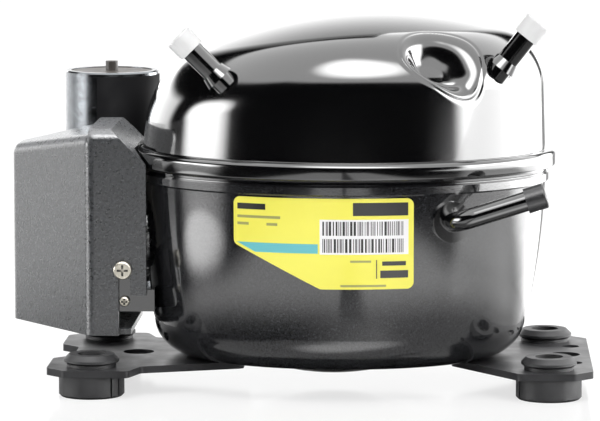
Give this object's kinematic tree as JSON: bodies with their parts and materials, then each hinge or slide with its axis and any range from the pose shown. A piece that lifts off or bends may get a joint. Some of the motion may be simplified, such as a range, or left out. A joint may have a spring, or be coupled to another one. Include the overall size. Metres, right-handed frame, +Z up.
{
  "type": "hermetic reciprocating compressor",
  "caption": "Hermetic reciprocating compressor with oval welded shell, base plates on rubber grommets, tube stubs, terminal cover, start capacitor and a crank and piston pump inside.",
  "frame": {"origin": "centre of the foot-hole pattern on the floor plane under the rubber grommets", "axes": "+X along the long side of the shell away from the terminal cover, +Y towards the capacitor side, +Z up"},
  "size_m": [0.2207, 0.1314, 0.1427],
  "materials": {
    "shell_paint": "gloss black paint",
    "foot_rubber": "moulded rubber",
    "zinc_steel": "zinc plated",
    "steel": "bright steel",
    "spring_steel": "blued spring steel",
    "cap_white": "soft white plastic",
    "cap_black": "soft black plastic",
    "label": "printed film",
    "cover_plastic": "fine textured",
    "relay_plastic": "moulded",
    "protector": "moulded",
    "glass_bead": "fused glass",
    "pin_metal": "nickel plated",
    "aluminium": "drawn, satin",
    "sleeve_black": "shrunk film",
    "phenolic": "moulded",
    "laminations": "stamped laminations",
    "winding": "enamelled wire, lacquered",
    "cast_aluminium": "die cast",
    "cast_iron": "as cast, machined faces",
    "gasket": "fibre sheet",
    "muffler_plastic": "moulded",
    "line_steel": "copper plated tube"
  },
  "bodies": {
    "shell": {"lower_shell": "shell_paint", "upper_shell": "shell_paint", "seam_weld": "shell_paint", "base_plate_left": "shell_paint", "base_plate_right": "shell_paint", "suction_tube": "shell_paint", "process_tube": "shell_paint", "discharge_tube": "shell_paint", "nameplate_label": "label", "earth_screw": "zinc_steel", "terminal_bracket": "shell_paint", "terminal_cup": "steel", "terminal_glass": "glass_bead", "terminal_pins": "pin_metal", "start_relay": "relay_plastic", "overload_protector": "protector", "capacitor_can": "aluminium", "capacitor_cap": "phenolic", "capacitor_sleeve": "sleeve_black", "capacitor_strap": "zinc_steel", "discharge_line": "line_steel", "spring_seats": "steel", "suspension_springs": "spring_steel", "foot_grommet_1": "foot_rubber", "foot_sleeve_1": "zinc_steel", "foot_grommet_2": "foot_rubber", "foot_sleeve_2": "zinc_steel", "foot_grommet_3": "foot_rubber", "foot_sleeve_3": "zinc_steel", "foot_grommet_4": "foot_rubber", "foot_sleeve_4": "zinc_steel"},
    "cover": {"terminal_cover": "cover_plastic", "cover_screw": "zinc_steel"},
    "suction_plug": {"suction_cap": "cap_white"},
    "process_plug": {"process_cap": "cap_white"},
    "discharge_plug": {"discharge_cap": "cap_black"},
    "pump": {"stator_core": "laminations", "stator_windings": "winding", "stator_bolts": "steel", "cylinder_block": "cast_iron", "thrust_washer": "steel", "valve_gasket": "gasket", "valve_plate": "steel", "reed_stop": "steel", "cylinder_head": "cast_aluminium", "head_screws": "zinc_steel", "suction_muffler": "muffler_plastic"},
    "crank": {"crankshaft": "cast_iron", "counterweight": "steel", "oil_pickup": "steel", "rotor_core": "laminations", "rotor_rings": "cast_aluminium"},
    "block": {"slide_block": "steel"},
    "link": {"crank_plug": "steel"},
    "yoke": {"yoke_tube": "steel", "piston": "steel"},
    "suction_leaf": {"suction_reed": "spring_steel"},
    "discharge_leaf": {"discharge_reed": "spring_steel"}
  },
  "joints": [
    {"name": "cover_pull", "type": "slide", "parent": "shell", "child": "cover", "axis": [-1, 0, 0], "range_m": [0, 0.06]},
    {"name": "suction_cap_pull", "type": "slide", "parent": "shell", "child": "suction_plug", "axis": [-0.7071, 0, 0.7071], "range_m": [0, 0.012]},
    {"name": "process_cap_pull", "type": "slide", "parent": "shell", "child": "process_plug", "axis": [0.6157, 0, 0.788], "range_m": [0, 0.012]},
    {"name": "discharge_cap_pull", "type": "slide", "parent": "shell", "child": "discharge_plug", "axis": [0.9537, 0, 0.3007], "range_m": [0, 0.012]},
    {"name": "pump_float", "type": "slide", "parent": "shell", "child": "pump", "axis": [0, 0, 1], "range_m": [-0.0025, 0.0025], "stiffness_N_per_m": 20000, "springref_m": 0.0016, "deforming": ["suspension_springs", "discharge_line"]},
    {"name": "crank_turn", "type": "hinge", "parent": "pump", "child": "crank", "pos_m": [0.0077, 0, 0.06], "axis": [0, 0, 1], "continuous": true},
    {"name": "block_turn", "type": "hinge", "parent": "crank", "child": "block", "pos_m": [0.0077, 0.007, 0.10553], "axis": [0, 0, 1], "continuous": true},
    {"name": "link_turn", "type": "hinge", "parent": "crank", "child": "link", "pos_m": [0.0077, 0.0035, 0.10553], "axis": [0, 0, 1], "continuous": true},
    {"name": "yoke_turn", "type": "hinge", "parent": "link", "child": "yoke", "pos_m": [0.0077, 0, 0.10553], "axis": [0, 0, 1], "continuous": true},
    {"name": "suction_reed_lift", "type": "hinge", "parent": "pump", "child": "suction_leaf", "pos_m": [0.0514, 0, 0.11783], "axis": [0, 1, 0], "range_deg": [0, 4], "stiffness_Nm_per_rad": 0.002},
    {"name": "discharge_reed_lift", "type": "hinge", "parent": "pump", "child": "discharge_leaf", "pos_m": [0.0548, 0.0076, 0.11683], "axis": [0, -1, 0], "range_deg": [0, 4], "stiffness_Nm_per_rad": 0.002}
  ],
  "couplings": [
    {"joint": "block_turn", "follows": "crank_turn", "ratio": -1},
    {"joint": "link_turn", "follows": "crank_turn", "ratio": -2},
    {"joint": "yoke_turn", "follows": "crank_turn", "ratio": 1}
  ]
}
